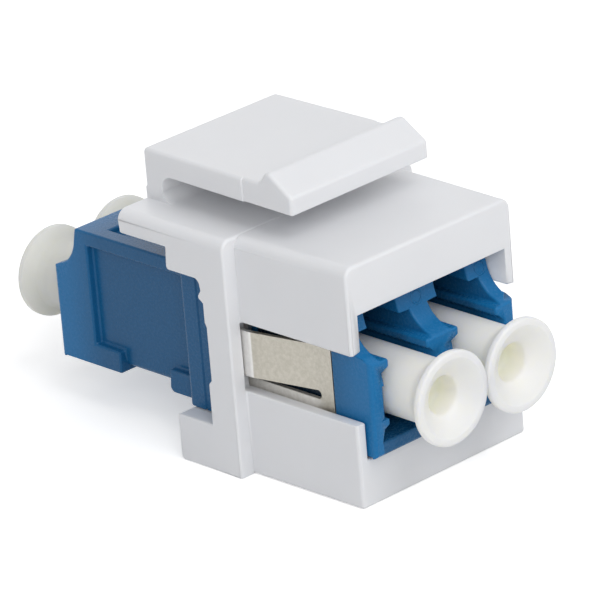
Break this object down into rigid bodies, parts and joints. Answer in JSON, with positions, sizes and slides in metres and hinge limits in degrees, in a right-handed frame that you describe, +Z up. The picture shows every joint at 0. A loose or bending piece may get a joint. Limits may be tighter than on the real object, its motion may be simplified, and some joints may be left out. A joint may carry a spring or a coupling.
{
  "type": "duplex lc fibre adapter",
  "caption": "Duplex LC fibre-optic adapter in a snap-in keystone housing with a sprung latch arm, steel retaining clip and trumpet-shaped dust caps.",
  "frame": {"origin": "on the underside of the housing, midway between the ports (X = 0), in the plane where the two adapter halves are welded (Y = 0)", "axes": "+X to the right seen from the front, +Y to the rear along the ferrules, +Z up towards the latch arm"},
  "size_m": [0.0172, 0.037, 0.0204],
  "materials": {
    "housing_white": "fine satin moulded ABS, cool white",
    "adapter_blue": "satin moulded PBT, single-mode blue",
    "sleeve_ceramic": "polished zirconia",
    "clip_steel": "rolled stainless sheet",
    "cap_ivory": "slightly translucent ivory polyethylene"
  },
  "bodies": {
    "adapter": {"keystone_housing": "housing_white", "adapter_front_half": "adapter_blue", "adapter_rear_half": "adapter_blue", "alignment_sleeve_left": "sleeve_ceramic", "alignment_sleeve_right": "sleeve_ceramic", "spring_clip": "clip_steel"},
    "latch": {"latch_arm": "housing_white"},
    "cap_front_left": {"dust_cap_front_left": "cap_ivory"},
    "cap_front_right": {"dust_cap_front_right": "cap_ivory"},
    "cap_rear_left": {"dust_cap_rear_left": "cap_ivory"},
    "cap_rear_right": {"dust_cap_rear_right": "cap_ivory"}
  },
  "joints": [
    {"name": "latch_flex", "type": "hinge", "parent": "adapter", "child": "latch", "pos_m": [0, 0.0046, 0.0171], "axis": [1, 0, 0], "range_deg": [0, 7.5], "stiffness_Nm_per_rad": 1.2},
    {"name": "pull_cap_front_left", "type": "slide", "parent": "adapter", "child": "cap_front_left", "axis": [0, -1, 0], "range_m": [0, 0.013]},
    {"name": "pull_cap_front_right", "type": "slide", "parent": "adapter", "child": "cap_front_right", "axis": [0, -1, 0], "range_m": [0, 0.013]},
    {"name": "pull_cap_rear_left", "type": "slide", "parent": "adapter", "child": "cap_rear_left", "axis": [0, 1, 0], "range_m": [0, 0.013]},
    {"name": "pull_cap_rear_right", "type": "slide", "parent": "adapter", "child": "cap_rear_right", "axis": [0, 1, 0], "range_m": [0, 0.013]}
  ]
}
